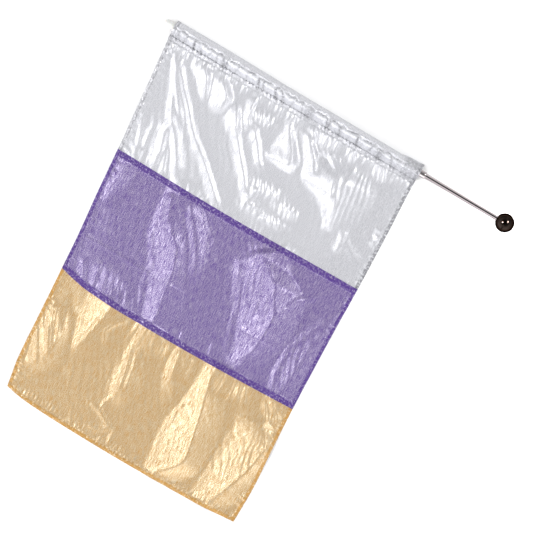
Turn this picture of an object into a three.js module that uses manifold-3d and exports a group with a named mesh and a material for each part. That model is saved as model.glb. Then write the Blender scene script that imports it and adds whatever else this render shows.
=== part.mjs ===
// A dance flag on its pole, laid on a level surface: three lame panels sewn edge to edge, the top one turned over
// into a sleeve that holds a chrome pole with a white tip at one end and a black ball at the other.
// Millimetres, +Z up. +X runs along the pole from tip to ball, +Y from the flag's free edge to the pole.
import * as THREE from 'three';
import { mergeVertices } from 'three/addons/utils/BufferGeometryUtils.js';
import Module from 'manifold-3d';

const wasm = await Module();
wasm.setup();

// Driving dimensions. In plan the pole's axis is y = 0 and its middle x = 0.
const POLE_LENGTH = 890;
const FREE_EDGE = -880;
const CLOTH = 1.2;
const DOUBLE_CLOTH = 2 * CLOTH;
const GAP = 0.3;

// Pole
const BALL_RADIUS = 21.5;
const BALL_FLAT = 0.3;
const BALL_BORE_PAST_MIDDLE = 8;
const HANDLE_RADIUS = 6.35;
const HANDLE_WALL = 1;
const HANDLE_IN_TUBE = 60;
const TUBE_RADIUS = 8;
const TUBE_END = 221;
const TIP_RADIUS = 9.1;
const TIP_LENGTH = 45;
const TIP_CROWN = 5;
const TIP_ROUND = 6;
const TIP_ROUND_STEPS = 5;
const TURN_SIDES = 28;
const BALL_RINGS = 14;

// Sleeve: the back fold, the row of stitches that closes it and the row that holds the turned edge
const SLEEVE_BACK = 17;
const SLEEVE_STITCH = -19;
const TURN_STITCH = -27;
const SLEEVE_STEPS = 11;
const SLEEVE_RADIUS = TIP_RADIUS + GAP;
const TUNNEL_INSET = 2;
const TUNNEL_FOOT = 1.8;
const GATHER_RISE = 1.6;

// Seams and hems
const SEAM_LAP = 12;
const SEAM_BAND = 13;
const SEAM_STEP = 3;
const HEM = 7;
const HEM_STEP = 1.5;

// Steps of the cloth grid: across the flag, and down each panel
const ACROSS = 50;
const SILVER_STEPS = 11;
const PURPLE_STEPS = 11;
const GOLD_STEPS = 11;
const END_BOW = 1e-5;
const MERGE_DISTANCE = 1e-3;

// Side edges of the flag: columns y, left x, right x
const SIDES = [
  [-900, -327, 246],
  [-840, -338, 247],
  [-800, -345, 247],
  [-700, -353, 240],
  [-585, -362, 232],
  [-500, -369, 228],
  [-400, -380, 224],
  [-294, -390, 221],
  [-150, -405, 215],
  [0, -420, 208],
];

// Rows across the flag: columns share of the width, upper seam y, lower seam y, free edge y
const SEAMS = [
  [0, -293, -581, FREE_EDGE + 14],
  [0.05, -293.5, -589, FREE_EDGE + 8],
  [0.12, -294, -596, FREE_EDGE + 4],
  [0.28, -295.5, -600, FREE_EDGE + 1],
  [0.45, -296, -600, FREE_EDGE],
  [0.65, -294.5, -598, FREE_EDGE + 1],
  [0.85, -292, -594, FREE_EDGE + 4],
  [1, -290.5, -590, FREE_EDGE + 11],
];

// The folds that the cloth lies in: columns y, left foot x, crest x, right foot x, rise of the crest
const FOLDS = {
  fan_low: [
    [-312, -252, -220, -200, 0],
    [-240, -296, -268, -250, 4.5],
    [-150, -352, -338, -316, 2.5],
    [-29, -402, -395, -378, 0],
  ],
  fan_middle: [
    [-312, -194, -172, -154, 0],
    [-240, -254, -226, -206, 2.5],
    [-140, -334, -316, -294, 2.2],
    [-29, -388, -382, -372, 0],
  ],
  fan_high: [
    [-312, -134, -114, -40, 0],
    [-240, -212, -188, -150, 3],
    [-140, -308, -298, -270, 2.5],
    [-29, -380, -372, -360, 0],
  ],
  patch_left: [
    [-108, -292, -280, -272, 0],
    [-95, -300, -284, -276, 3.4],
    [-75, -320, -292, -283, 6],
    [-52, -346, -304, -294, 8],
    [-38, -352, -316, -306, 4],
    [-27, -356, -320, -310, 0],
  ],
  patch_middle: [
    [-116, -262, -240, -228, 0],
    [-100, -272, -240, -228, 5.6],
    [-75, -283, -240, -226, 8.6],
    [-55, -294, -256, -240, 7.6],
    [-40, -300, -266, -250, 3],
    [-27, -304, -272, -258, 0],
  ],
  patch_right: [
    [-140, -206, -184, -172, 0],
    [-120, -222, -188, -176, 6],
    [-100, -230, -198, -188, 6.5],
    [-84, -228, -208, -198, 4],
    [-70, -226, -214, -206, 0],
  ],
  broad: [
    [-262, -96, -82, -66, 0],
    [-200, -142, -124, -102, 3],
    [-135, -198, -180, -158, 3],
    [-100, -226, -204, -186, 0],
  ],
  branch: [
    [-256, 0, 30, 60, 0],
    [-210, -86, -4, 46, 3],
    [-165, -122, -104, -70, 3],
    [-105, -174, -150, -120, 3],
    [-29, -196, -180, -166, 0],
  ],
  lens: [
    [-272, -40, 10, 40, 0],
    [-245, -98, -40, 40, 3],
    [-205, -104, -86, -40, 0],
  ],
  middle: [
    [-147, -104, -50, -20, 0],
    [-137, -110, -50, -32, 11],
    [-126, -106, -46, -32, 12.5],
    [-110, -101, -52, -38, 10.3],
    [-85, -101, -70, -56, 6.5],
    [-50, -101, -93, -82, 2],
    [-29, -104, -97, -86, 0],
  ],
  middle_right: [
    [-128, -14, 8, 24, 0],
    [-115, -20, 2, 16, 4.6],
    [-100, -30, -4, 10, 5.4],
    [-80, -45, -18, -4, 5.6],
    [-62, -58, -34, -22, 5],
    [-48, -70, -54, -46, 0],
  ],
  right_crumple: [
    [-215, 88, 104, 134, 0],
    [-184, 66, 96, 140, 6.3],
    [-160, 30, 84, 150, 11.3],
    [-141, -14, 66, 152, 16],
    [-124, -20, 58, 152, 15.5],
    [-110, -14, 56, 152, 14.5],
    [-97, -6, 54, 150, 12.4],
    [-72, 6, 46, 120, 0],
  ],
  purple_corner: [
    [-430, -378, -360, -320, 0],
    [-340, -388, -346, -326, 8.5],
    [-300, -392, -346, -330, 5],
    [-262, -394, -346, -330, 0],
  ],
  purple_left: [
    [-640, -160, -130, -100, 0],
    [-592, -164, -128, -84, 8],
    [-470, -204, -148, -90, 12],
    [-420, -232, -168, -100, 12],
    [-365, -248, -208, -120, 9],
    [-292, -256, -222, -180, 4],
    [-270, -256, -222, -190, 0],
  ],
  purple_middle: [
    [-500, -100, -84, -60, 0],
    [-410, -140, -108, -60, 5],
    [-320, -198, -174, -146, 3],
    [-280, -214, -190, -164, 0],
  ],
  purple_big: [
    [-630, 34, 54, 90, 0],
    [-560, 48, 86, 130, 7],
    [-460, 8, 96, 150, 17],
    [-376, -46, 62, 140, 18],
    [-352, -36, 30, 108, 16],
    [-330, -14, 0, 74, 14],
    [-305, 18, 28, 70, 7],
    [-282, 30, 40, 70, 0],
  ],
  purple_right: [
    [-630, 170, 190, 220, 0],
    [-520, 152, 196, 230, 8],
    [-400, 178, 206, 226, 5],
    [-350, 196, 212, 226, 0],
  ],
  gold_wedge: [
    [-745, -256, -248, -220, 0],
    [-690, -266, -238, -180, 7],
    [-600, -282, -224, -160, 10],
    [-555, -320, -230, -150, 0],
  ],
  gold_left: [
    [-815, -342, -300, -270, 0],
    [-750, -350, -290, -250, 11],
    [-640, -366, -310, -280, 0],
  ],
  gold_middle: [
    [-785, -130, -106, -80, 0],
    [-740, -144, -108, -70, 8],
    [-670, -150, -118, -80, 4],
    [-610, -154, -128, -88, 2.4],
    [-572, -156, -130, -90, 0],
  ],
  gold_streak: [
    [-730, -30, 0, 20, 0],
    [-640, -58, -30, 4, 6],
    [-606, -60, -38, -6, 5],
    [-574, -60, -38, -6, 0],
  ],
  gold_main: [
    [-885, 20, 34, 70, 3],
    [-868, 15, 40, 90, 5.4],
    [-846, 12, 62, 110, 10.5],
    [-810, 10, 86, 128, 15.5],
    [-760, 6, 78, 130, 15],
    [-650, 18, 50, 106, 8],
    [-604, 16, 42, 90, 6],
    [-574, 16, 42, 90, 0],
  ],
  gold_right: [
    [-885, 130, 168, 200, 6],
    [-800, 138, 204, 244, 13],
    [-700, 140, 226, 246, 16],
    [-630, 120, 180, 232, 0],
  ],
};

// Places along the sleeve where its front is drawn into a crease, and half the width of a crease
const GATHER_CREASES = [-395, -360, -322, -280, -238, -190, -142, -98, -62, -20, 14, 60, 104, 140];
const CREASE_REACH = 14;

// Rows of a table as a function from its first column to the rest
function alongTable(table) {
  const positions = table.map((row) => row[0]);
  const values = table.flatMap((row) => row.slice(1));
  const interpolant = new THREE.LinearInterpolant(positions, values, table[0].length - 1);
  return (position) => interpolant.evaluate(position);
}

const sidesAt = alongTable(SIDES);
const seamsAt = alongTable(SEAMS);
const foldTables = Object.values(FOLDS).map((rows) => ({
  top: rows.at(-1)[0],
  bottom: rows[0][0],
  at: alongTable(rows),
}));

function flagX(share, y) {
  const [left, right] = sidesAt(y);
  return THREE.MathUtils.lerp(left, right, share);
}

// Height of the cloth's underside above the surface it lies on: a ridge for each fold, level in between
function foldHeight(x, y) {
  let height = 0;
  for (const { top, bottom, at } of foldTables) {
    if (y > top || y < bottom) {
      continue;
    }
    const [left, crest, right, rise] = at(y);
    const slope = x < crest ? (x - left) / (crest - left) : (right - x) / (right - crest);
    height += rise * Math.max(0, slope);
  }
  return height;
}

// The pole lies on the surface at its ball and on the sleeve's lower layer at its tip, so it slopes a little
const BALL_X = POLE_LENGTH / 2 - BALL_RADIUS;
const TIP_END = -POLE_LENGTH / 2;
const SLEEVE_LEFT = flagX(0, 0);
const BALL_HEIGHT = BALL_RADIUS - BALL_FLAT;
const SEAT_HEIGHT = CLOTH + GAP + TIP_RADIUS;
const POLE_SLOPE = (BALL_HEIGHT - SEAT_HEIGHT) / (BALL_X - SLEEVE_LEFT);

function poleHeight(x) {
  return BALL_HEIGHT + (x - BALL_X) * POLE_SLOPE;
}

// Geometry of a solid whose closed rings, one per station across the flag, are joined to the next one.
// Rings run anticlockwise seen from +X. A tunnel's rings run the other way. Both faces of a sheet are split along
// the same diagonals, so that the sheet keeps its thickness and its gap to a sheet that it is lapped over.
function skinned(rings, tunnelRings) {
  const positions = [];
  const index = [];
  const addWall = (wallRings) => {
    const first = positions.length / 3;
    const size = wallRings[0].length;
    wallRings.forEach((ring) => ring.forEach((point) => positions.push(point.x, point.y, point.z)));
    for (let station = 0; station + 1 < wallRings.length; station += 1) {
      for (let corner = 0; corner < size; corner += 1) {
        const next = (corner + 1) % size;
        const a = first + station * size + corner;
        const b = first + station * size + next;
        const c = b + size;
        const d = a + size;
        const upward = wallRings[station][next].y > wallRings[station][corner].y;
        index.push(...(upward ? [a, b, d, b, c, d] : [a, b, c, a, c, d]));
      }
    }
    return first;
  };
  const outer = addWall(rings);
  const inner = tunnelRings ? addWall(tunnelRings) : 0;

  // An end is filled in its y and z, bowed a little because the filling skips points that lie on one line
  const flatten = (ring) => ring.map(({ y, z }) => new THREE.Vector2(y, z + END_BOW * y * y));
  const addEnd = (station, facesForward) => {
    const contour = flatten(rings[station]);
    const holes = tunnelRings ? [flatten(tunnelRings[station])] : [];
    const corners = [...contour, ...holes.flat()];
    const vertex = (corner) => (corner < contour.length
      ? outer + station * contour.length + corner
      : inner + station * holes[0].length + corner - contour.length);
    for (const [a, b, c] of THREE.ShapeUtils.triangulateShape(contour, holes)) {
      const anticlockwise = THREE.ShapeUtils.area([corners[a], corners[b], corners[c]]) > 0;
      const ordered = anticlockwise === facesForward ? [a, b, c] : [a, c, b];
      index.push(...ordered.map(vertex));
    }
  };
  addEnd(0, false);
  addEnd(rings.length - 1, true);

  const geometry = new THREE.BufferGeometry();
  geometry.setAttribute('position', new THREE.Float32BufferAttribute(positions, 3));
  geometry.setIndex(index);
  geometry.computeVertexNormals();
  return geometry;
}

// Shares of the width where the grid has a station, closer together at the two side hems
function acrossShares() {
  const width = flagX(1, SLEEVE_STITCH) - flagX(0, SLEEVE_STITCH);
  const hem = HEM / width;
  const step = HEM_STEP / width;
  const inner = 1 - 2 * (hem + step);
  const shares = [0, hem];
  for (let count = 0; count <= ACROSS; count += 1) {
    shares.push(hem + step + (inner * count) / ACROSS);
  }
  shares.push(1 - hem, 1);
  return shares;
}

const SHARES = acrossShares();

// Cloth is double at the side hems
function layers(share) {
  const hemEnd = SHARES[1];
  const tolerance = hemEnd / 100;
  return share <= hemEnd + tolerance || share >= 1 - hemEnd - tolerance ? 2 : 1;
}

// One crossing of the grid: the sheet's upper and lower point, the lower one raised by lift
function sheetPoints(share, y, thickness, lift = 0) {
  const x = flagX(share, y);
  const under = foldHeight(x, y) + lift;
  return {
    upper: new THREE.Vector3(x, y, under + thickness),
    lower: new THREE.Vector3(x, y, under),
  };
}

function evenRows(top, bottom, steps) {
  return Array.from({ length: steps + 1 }, (_, count) => THREE.MathUtils.lerp(top, bottom, count / steps));
}

// Ring of a sheet from rows that run from its upper edge down to its lower edge
function sheetRing(rows) {
  const lower = rows.map((row) => row.lower);
  return [...rows.map((row) => row.upper), ...lower.reverse()];
}

// How far the sleeve's front swells out between two gathered creases
function gatherSwell(x) {
  const nearest = Math.min(...GATHER_CREASES.map((crease) => Math.abs(x - crease)));
  return GATHER_RISE * Math.min(1, nearest / CREASE_REACH);
}

// Section of the sleeve's upper layer: straight up from its back, round over the pole, straight down to the stitches
function sleeveArch(x, radius, back, front) {
  const middle = new THREE.Vector2(0, poleHeight(x));
  const tangent = (from, turn) => {
    const away = from.clone().sub(middle);
    return away.angle() + turn * Math.acos(radius / away.length());
  };
  const backAngle = tangent(back, 1);
  const frontAngle = tangent(front, -1);
  const path = new THREE.Path();
  path.moveTo(back.x, back.y);
  path.lineTo(middle.x + radius * Math.cos(backAngle), middle.y + radius * Math.sin(backAngle));
  path.absarc(middle.x, middle.y, radius, backAngle, frontAngle, false);
  path.lineTo(front.x, front.y);
  return path.getSpacedPoints(SLEEVE_STEPS).map((point) => {
    const downFront = THREE.MathUtils.clamp(point.x / SLEEVE_STITCH, 0, 1);
    const swell = gatherSwell(x) * Math.sin(Math.PI * downFront);
    return new THREE.Vector3(x, point.x, point.y + swell);
  });
}

function silverPanel() {
  const rings = [];
  const tunnels = [];
  for (const share of SHARES) {
    const [seam] = seamsAt(share);
    const x = flagX(share, 0);
    const turnedEdge = sheetPoints(share, TURN_STITCH, DOUBLE_CLOTH);
    const below = evenRows(TURN_STITCH, seam, SILVER_STEPS).slice(1).concat(seam - SEAM_LAP);
    const rows = below.map((y) => sheetPoints(share, y, CLOTH * layers(share)));
    const back = new THREE.Vector2(SLEEVE_BACK, CLOTH);
    const stitches = new THREE.Vector2(SLEEVE_STITCH, DOUBLE_CLOTH);
    const outer = sleeveArch(x, SLEEVE_RADIUS + CLOTH, back, stitches);
    const backFoot = new THREE.Vector3(x, SLEEVE_BACK - CLOTH / 2, 0);
    rings.push([...outer, ...sheetRing([turnedEdge, ...rows]), backFoot]);

    const tunnelBack = new THREE.Vector2(SLEEVE_BACK - TUNNEL_INSET, TUNNEL_FOOT);
    const tunnelFront = new THREE.Vector2(SLEEVE_STITCH + TUNNEL_INSET, TUNNEL_FOOT);
    const inner = sleeveArch(x, SLEEVE_RADIUS, tunnelBack, tunnelFront);
    const floorBack = new THREE.Vector3(x, tunnelBack.x, CLOTH);
    const floorFront = new THREE.Vector3(x, tunnelFront.x, CLOTH);
    tunnels.push([...inner.reverse(), floorBack, floorFront]);
  }
  return skinned(rings, tunnels);
}

// The middle panel's two bands lie over the seam allowances of its neighbours
function purplePanel() {
  const rings = SHARES.map((share) => {
    const [upperSeam, lowerSeam] = seamsAt(share);
    const thickness = CLOTH * layers(share);
    const lap = thickness + GAP;
    const flat = SEAM_BAND + SEAM_STEP;
    const rows = [
      sheetPoints(share, upperSeam, thickness, lap),
      sheetPoints(share, upperSeam - SEAM_LAP, thickness, lap),
      sheetPoints(share, upperSeam - SEAM_BAND, thickness, lap),
      ...evenRows(upperSeam - flat, lowerSeam + flat, PURPLE_STEPS).map((y) => sheetPoints(share, y, thickness)),
      sheetPoints(share, lowerSeam + SEAM_BAND, thickness, lap),
      sheetPoints(share, lowerSeam + SEAM_LAP, thickness, lap),
      sheetPoints(share, lowerSeam, thickness, lap),
    ];
    return sheetRing(rows);
  });
  return skinned(rings);
}

function goldPanel() {
  const rings = SHARES.map((share) => {
    const [, seam, edge] = seamsAt(share);
    const thickness = CLOTH * layers(share);
    const hemTop = edge + HEM;
    const rows = [
      sheetPoints(share, seam + SEAM_LAP, thickness),
      ...evenRows(seam, hemTop + HEM_STEP, GOLD_STEPS).map((y) => sheetPoints(share, y, thickness)),
      sheetPoints(share, hemTop, DOUBLE_CLOTH),
      sheetPoints(share, edge, DOUBLE_CLOTH),
    ];
    return sheetRing(rows);
  });
  return skinned(rings);
}

// Turned piece along the pole: profile points are [radius, distance along the pole]
function turned(profile) {
  const points = profile.map(([radius, along]) => new THREE.Vector2(radius, along));
  return new THREE.LatheGeometry(points, TURN_SIDES).rotateZ(-Math.PI / 2);
}

function tubeProfile(outerRadius, innerRadius, start, end) {
  return [
    [outerRadius, start],
    [outerRadius, end],
    [innerRadius, end],
    [innerRadius, start],
    [outerRadius, start],
  ];
}

// Cap with a rounded closed end towards the tip and a bore that the tube is pushed into
function tipProfile() {
  const bore = TUBE_RADIUS + GAP;
  const end = TIP_END - BALL_X;
  const profile = [[0, end]];
  for (let count = 0; count <= TIP_ROUND_STEPS; count += 1) {
    const angle = (Math.PI / 2) * (count / TIP_ROUND_STEPS);
    const radius = TIP_RADIUS - TIP_ROUND + TIP_ROUND * Math.sin(angle);
    profile.push([radius, end + TIP_ROUND * (1 - Math.cos(angle))]);
  }
  profile.push([TIP_RADIUS, end + TIP_LENGTH]);
  profile.push([bore, end + TIP_LENGTH]);
  profile.push([bore, end + TIP_CROWN]);
  profile.push([0, end + TIP_CROWN]);
  return profile;
}

// Ball with a blind bore on the side of the handle
function ballProfile() {
  const bore = HANDLE_RADIUS + GAP;
  const rimAngle = Math.asin(bore / BALL_RADIUS);
  const profile = [[0, BALL_BORE_PAST_MIDDLE], [bore, BALL_BORE_PAST_MIDDLE]];
  for (let ring = 0; ring < BALL_RINGS; ring += 1) {
    const angle = THREE.MathUtils.lerp(rimAngle, Math.PI, ring / BALL_RINGS);
    profile.push([BALL_RADIUS * Math.sin(angle), -BALL_RADIUS * Math.cos(angle)]);
  }
  profile.push([0, BALL_RADIUS]);
  return profile;
}

// Closed solid from a geometry, with its shared corners merged and its empty triangles dropped
function solidOf(geometry) {
  const bare = geometry.clone();
  bare.deleteAttribute('normal');
  bare.deleteAttribute('uv');
  const merged = mergeVertices(bare, MERGE_DISTANCE);
  const corners = Array.from(merged.index.array);
  const kept = [];
  for (let first = 0; first < corners.length; first += 3) {
    const [a, b, c] = corners.slice(first, first + 3);
    if (a !== b && b !== c && c !== a) {
      kept.push(a, b, c);
    }
  }
  const vertProperties = new Float32Array(merged.attributes.position.array);
  const triVerts = new Uint32Array(kept);
  return new wasm.Manifold(new wasm.Mesh({ numProp: 3, vertProperties, triVerts }));
}

function geometryOf(solid) {
  const { vertProperties, triVerts } = solid.getMesh();
  const geometry = new THREE.BufferGeometry();
  geometry.setAttribute('position', new THREE.Float32BufferAttribute(vertProperties, 3));
  geometry.setIndex(Array.from(triVerts));
  geometry.computeVertexNormals();
  return geometry;
}

const lame = (colour) => new THREE.MeshStandardMaterial({ color: colour, roughness: 0.35, metalness: 0.7 });
const chrome = () => new THREE.MeshStandardMaterial({ color: 0xc9c5c4, roughness: 0.12, metalness: 1 });
const tipVinyl = new THREE.MeshStandardMaterial({ color: 0xf3efea, roughness: 0.4, metalness: 0 });
const ballPlastic = new THREE.MeshStandardMaterial({ color: 0x1c1714, roughness: 0.12, metalness: 0 });

function mesh(name, geometry, material) {
  const piece = new THREE.Mesh(geometry, material);
  piece.name = name;
  return piece;
}

// The pole's own frame: its axis is local X, from the ball's middle, sloping down towards the tip
const pole = new THREE.Group();
pole.position.set(BALL_X, 0, BALL_HEIGHT);
pole.rotation.y = -Math.atan(POLE_SLOPE);
pole.updateMatrix();

// What would sink into the surface is cut off level, so that the ball stands on a small flat
function flatOnSurface(geometry) {
  const width = 2 * BALL_RADIUS;
  const slab = new THREE.BoxGeometry(width, width, BALL_RADIUS);
  slab.translate(BALL_X, 0, -BALL_RADIUS / 2);
  slab.applyMatrix4(pole.matrix.clone().invert());
  return geometryOf(solidOf(geometry).subtract(solidOf(slab)));
}

const tubeBore = HANDLE_RADIUS + GAP;
const tubeEnd = TUBE_END - BALL_X;
const tubeStart = TIP_END - BALL_X + TIP_CROWN + GAP;
const handleStart = tubeEnd - HANDLE_IN_TUBE;
const handleEnd = BALL_BORE_PAST_MIDDLE - GAP;
pole.add(
  mesh('sleeve_tube', turned(tubeProfile(TUBE_RADIUS, tubeBore, tubeStart, tubeEnd)), chrome()),
  mesh(
    'handle_tube',
    turned(tubeProfile(HANDLE_RADIUS, HANDLE_RADIUS - HANDLE_WALL, handleStart, handleEnd)),
    chrome(),
  ),
  mesh('end_tip', turned(tipProfile()), tipVinyl),
  mesh('handle_ball', flatOnSurface(turned(ballProfile())), ballPlastic),
);

// The whole flag, moved so that the middle of its outline lies at the origin
const flag = new THREE.Group();
flag.position.y = -(FREE_EDGE + BALL_RADIUS) / 2;
flag.add(
  mesh('silver_panel', silverPanel(), lame(0xd7d9de)),
  mesh('purple_panel', purplePanel(), lame(0x8c75b6)),
  mesh('gold_panel', goldPanel(), lame(0xd4b482)),
  pole,
);

export default flag;
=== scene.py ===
# A lame dance flag on its chrome pole, laid flat on a pale floor and seen from straight above.
import math
import bmesh
import bpy
import numpy as np
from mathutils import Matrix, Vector


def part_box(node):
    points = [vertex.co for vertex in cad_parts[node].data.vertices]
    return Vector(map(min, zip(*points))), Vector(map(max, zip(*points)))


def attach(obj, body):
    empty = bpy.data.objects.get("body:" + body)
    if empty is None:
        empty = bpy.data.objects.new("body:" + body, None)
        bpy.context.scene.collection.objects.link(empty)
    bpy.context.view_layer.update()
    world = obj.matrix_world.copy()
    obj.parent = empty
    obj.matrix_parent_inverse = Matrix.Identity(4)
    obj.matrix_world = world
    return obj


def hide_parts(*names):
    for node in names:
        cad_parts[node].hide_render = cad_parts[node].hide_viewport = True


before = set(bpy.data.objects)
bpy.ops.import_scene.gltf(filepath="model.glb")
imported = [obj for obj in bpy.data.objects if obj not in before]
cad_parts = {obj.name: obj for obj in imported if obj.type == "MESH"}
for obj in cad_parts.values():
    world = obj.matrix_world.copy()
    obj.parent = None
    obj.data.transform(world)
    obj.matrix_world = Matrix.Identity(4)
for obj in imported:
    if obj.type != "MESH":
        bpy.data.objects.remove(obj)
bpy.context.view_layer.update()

# The two tubes of the pole are chromed steel, the thin handle pushed into the thick tube that carries the
# cloth. The thick tube's mouth is rolled, and it shows as a short collar where the sleeve ends.
tube_low, tube_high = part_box("sleeve_tube")
handle_low, handle_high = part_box("handle_tube")
TUBE_RADIUS = (tube_high.y - tube_low.y) / 2
HANDLE_RADIUS = (handle_high.y - handle_low.y) / 2
POLE_Y = (tube_low.y + tube_high.y) / 2
POLE_SLOPE = (tube_high.z - tube_low.z - 2 * TUBE_RADIUS) / (tube_high.x - tube_low.x)
TUBE_WALL = 0.0011
LIP_LENGTH = 0.003
LIP_RISE = 0.0003
LIP_EASE = 0.3
TURN_SIDES = 72
SHARP_EDGE = math.radians(40)


def axis_height(x):
    """Height of the pole's axis above the floor at x."""
    return tube_low.z + TUBE_RADIUS + POLE_SLOPE * (x - tube_low.x)


def placed(name, data):
    """A new object in the scene for a mesh, a lamp or the camera."""
    piece = bpy.data.objects.new(name, data)
    bpy.context.scene.collection.objects.link(piece)
    return piece


def finished_object(name, mesh, material):
    """An object for a finished mesh, smooth but for its sharp edges, riding on the flag's one body."""
    mesh.shade_smooth()
    mesh.set_sharp_from_angle(angle=SHARP_EDGE)
    mesh.materials.append(material)
    piece = placed(name, mesh)
    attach(piece, "root")
    return piece


def turned_mesh(name, profile):
    """A mesh turned about the pole's axis from pairs of x and radius."""
    x, radius = np.array(profile).T
    angles = np.arange(TURN_SIDES) * 2 * math.pi / TURN_SIDES
    across = POLE_Y + np.outer(radius, np.cos(angles))
    up = axis_height(x)[:, None] + np.outer(radius, np.sin(angles))
    along = np.repeat(x[:, None], TURN_SIDES, axis=1)
    points = np.stack([along, across, up], axis=-1).reshape(-1, 3)
    faces = []
    for ring in range(len(x) - 1):
        for side in range(TURN_SIDES):
            following = (side + 1) % TURN_SIDES
            first, second = ring * TURN_SIDES, (ring + 1) * TURN_SIDES
            faces.append((first + side, first + following, second + following, second + side))
    mesh = bpy.data.meshes.new(name)
    mesh.from_pydata(points.tolist(), [], faces)
    joined = bmesh.new()
    joined.from_mesh(mesh)
    bmesh.ops.remove_doubles(joined, verts=joined.verts, dist=1e-6)
    bmesh.ops.recalc_face_normals(joined, faces=joined.faces)
    joined.to_mesh(mesh)
    joined.free()
    return mesh


class Tone:
    """A value on its way through a tree of nodes, so that node maths reads as Python."""

    def __init__(self, wiring, socket):
        self.wiring = wiring
        self.socket = socket

    def maths(self, operation, first, second):
        return self.wiring.node("ShaderNodeMath", {"operation": operation}, {0: first, 1: second})

    def __add__(self, other):
        return self.maths("ADD", self, other)

    def __radd__(self, other):
        return self.maths("ADD", other, self)

    def __sub__(self, other):
        return self.maths("SUBTRACT", self, other)

    def __rsub__(self, other):
        return self.maths("SUBTRACT", other, self)

    def __mul__(self, other):
        return self.maths("MULTIPLY", self, other)

    def __rmul__(self, other):
        return self.maths("MULTIPLY", other, self)


class Wiring:
    """A tree of nodes, with one method that makes any node in it."""

    def __init__(self, tree):
        self.tree = tree

    def fill(self, socket, value):
        if isinstance(value, Tone):
            self.tree.links.new(value.socket, socket)
        else:
            socket.default_value = value

    def set_stops(self, ramp, stops):
        """Grey levels of a ramp, from pairs of place and level."""
        while len(ramp.elements) < len(stops):
            ramp.elements.new(0.5)
        for element, (place, level) in zip(ramp.elements, stops):
            element.position = place
            element.color = (level, level, level, 1)

    def node(self, kind, settings, sockets, output=0):
        """A new node from its settings and the values or links of its sockets. Gives one of its outputs."""
        node = self.tree.nodes.new(kind)
        for setting, value in settings.items():
            if setting == "stops":
                self.set_stops(node.color_ramp, value)
            else:
                setattr(node, setting, value)
        for socket, value in sockets.items():
            self.fill(node.inputs[socket], value)
        return Tone(self, node.outputs[output]) if node.outputs else None


class Finish(Wiring):
    """A surface finish: one material, its shader and what varies over it."""

    def __init__(self, name):
        self.material = bpy.data.materials.new(name)
        self.material.use_nodes = True
        super().__init__(self.material.node_tree)
        self.shader = next(node for node in self.tree.nodes if node.type == "BSDF_PRINCIPLED")

    def place(self):
        return self.node("ShaderNodeTexCoord", {}, {}, output="Object")

    def noise(self, where, scale, detail):
        return self.node("ShaderNodeTexNoise", {}, {"Vector": where, "Scale": scale, "Detail": detail})

    def stretched(self, where, scale):
        return self.node("ShaderNodeMapping", {}, {"Vector": where, "Scale": scale})

    def mixed(self, share, first, second):
        """A colour between two others."""
        return self.node("ShaderNodeMix", {"data_type": "RGBA"}, {0: share, 6: first, 7: second}, output=2)

    def bumped(self, height, distance):
        return self.node("ShaderNodeBump", {}, {"Height": height, "Distance": distance, "Strength": 1.0})

    def surface(self, **sockets):
        for socket, value in sockets.items():
            self.fill(self.shader.inputs[socket.replace("_", " ")], value)


def chrome_finish():
    """Bright chrome plate with faint handling smears along the tube."""
    finish = Finish("chrome_plate")
    smear = finish.noise(finish.stretched(finish.place(), (14.0, 160.0, 160.0)), 1.0, 4.0)
    finish.surface(
        Base_Color=finish.mixed(smear, (0.44, 0.396, 0.398, 1), (0.52, 0.478, 0.484, 1)),
        Metallic=1.0,
        Roughness=0.025 + smear * 0.05,
    )
    return finish.material


chrome = chrome_finish()
lip_start = tube_high.x - LIP_LENGTH
tube_bore = TUBE_RADIUS - TUBE_WALL
sleeve_tube = finished_object("pole_sleeve_tube", turned_mesh("pole_sleeve_tube", [
    (tube_low.x, TUBE_RADIUS),
    (lip_start, TUBE_RADIUS),
    (lip_start + LIP_LENGTH * LIP_EASE, TUBE_RADIUS + LIP_RISE),
    (tube_high.x - LIP_LENGTH * LIP_EASE, TUBE_RADIUS + LIP_RISE),
    (tube_high.x, TUBE_RADIUS - TUBE_WALL * LIP_EASE),
    (tube_high.x, tube_bore),
    (tube_low.x, tube_bore),
    (tube_low.x, TUBE_RADIUS),
]), chrome)
handle_bore = HANDLE_RADIUS - TUBE_WALL
handle_tube = finished_object("pole_handle_tube", turned_mesh("pole_handle_tube", [
    (handle_low.x, HANDLE_RADIUS),
    (handle_high.x, HANDLE_RADIUS),
    (handle_high.x, handle_bore),
    (handle_low.x, handle_bore),
    (handle_low.x, HANDLE_RADIUS),
]), chrome)
for tube, node in ((sleeve_tube, "sleeve_tube"), (handle_tube, "handle_tube")):
    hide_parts(node)

# The grip end is a glossy black moulded ball, bored on one side and pressed onto the handle tube.
# It lies on the floor on a small flat.
ball_low, ball_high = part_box("handle_ball")
BALL_RADIUS = (ball_high.y - ball_low.y) / 2
BALL_X = ball_high.x - BALL_RADIUS
BORE_CLEARANCE = 0.0002
BALL_BORE = HANDLE_RADIUS + BORE_CLEARANCE
BORE_PAST_MIDDLE = 0.008
BALL_CHAMFER = 0.0008
BALL_RINGS = 40


def ball_profile():
    """Half outline of the ball, from the end of its bore, over the chamfered rim and round."""
    rim = math.asin((BALL_BORE + BALL_CHAMFER) / BALL_RADIUS)
    bore_end = BALL_X + BORE_PAST_MIDDLE
    profile = [(bore_end, 0.0), (bore_end, BALL_BORE)]
    profile.append((BALL_X - BALL_RADIUS * math.cos(rim) + BALL_CHAMFER, BALL_BORE))
    for angle in np.linspace(rim, math.pi, BALL_RINGS):
        profile.append((BALL_X - BALL_RADIUS * math.cos(angle), BALL_RADIUS * math.sin(angle)))
    return profile


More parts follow.
